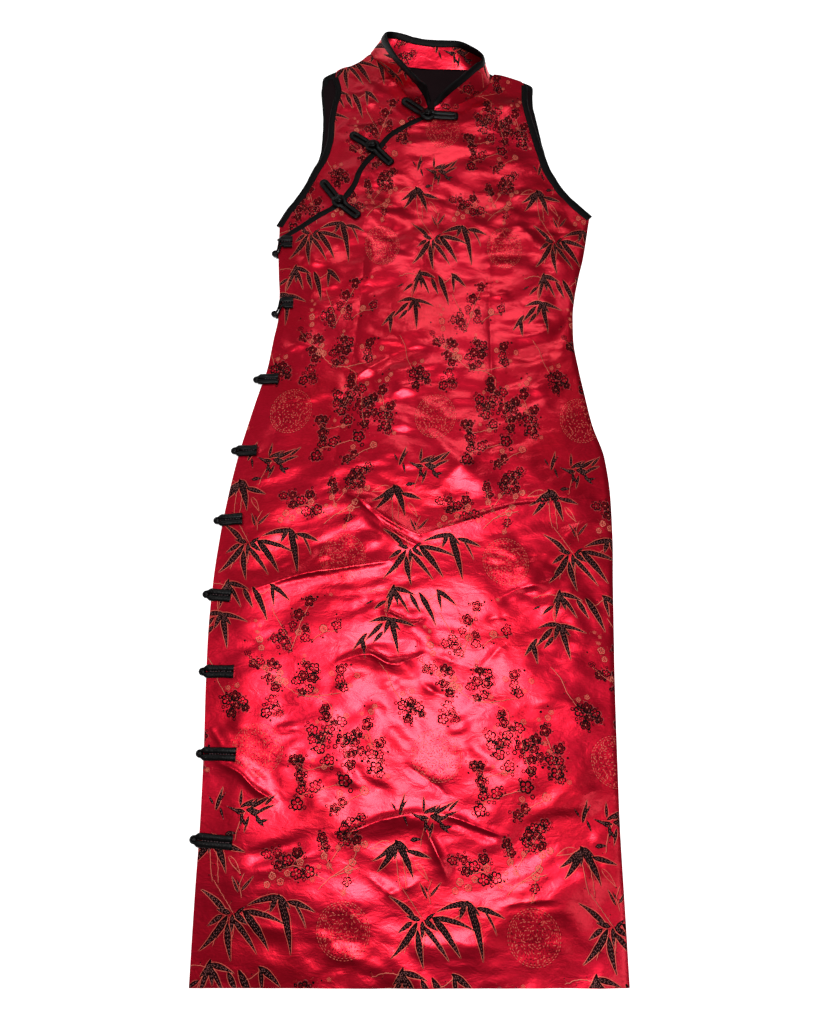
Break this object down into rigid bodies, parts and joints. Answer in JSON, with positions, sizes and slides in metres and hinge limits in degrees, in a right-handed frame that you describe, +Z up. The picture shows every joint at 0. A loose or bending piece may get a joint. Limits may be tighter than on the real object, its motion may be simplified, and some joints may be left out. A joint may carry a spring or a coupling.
{
  "type": "cheongsam dress",
  "caption": "Sleeveless cheongsam dress of brocade with a stand collar, diagonal opening and frog fastenings, laid flat on its back.",
  "frame": {"origin": "middle of the laid dress's bounding box, on the surface that it lies on", "axes": "+Z up from the surface, +Y from the hem towards the collar, +X to the viewer's right, looking down on the front"},
  "size_m": [0.4648, 1.167, 0.0349],
  "materials": {
    "brocade": "red satin brocade with black, rose and orange woven bamboo, plum blossom and round medallions",
    "lining": "dark plain-woven lining",
    "binding": "black satin bias binding",
    "cord": "black satin cord, hand-knotted"
  },
  "bodies": {
    "root": {"armhole_binding_left_back": "binding", "armhole_binding_left_front": "binding", "armhole_binding_right_back": "binding", "armhole_binding_right_front": "binding", "back_lining": "lining", "back_panel": "brocade", "collar": "brocade", "collar_binding": "binding", "frog_1_knot": "cord", "frog_1_loop": "cord", "frog_2_knot": "cord", "frog_2_loop": "cord", "frog_3_knot": "cord", "frog_3_loop": "cord", "front_panel": "brocade", "front_underlap": "brocade", "opening_binding": "binding", "side_frog_1_knot": "cord", "side_frog_1_loop": "cord", "side_frog_2_knot": "cord", "side_frog_2_loop": "cord", "side_frog_3_knot": "cord", "side_frog_3_loop": "cord", "side_frog_4_knot": "cord", "side_frog_4_loop": "cord", "side_frog_5_knot": "cord", "side_frog_5_loop": "cord", "side_frog_6_knot": "cord", "side_frog_6_loop": "cord", "side_frog_7_knot": "cord", "side_frog_7_loop": "cord", "side_frog_8_knot": "cord", "side_frog_8_loop": "cord", "side_frog_9_knot": "cord", "side_frog_9_loop": "cord"}
  },
  "joints": []
}
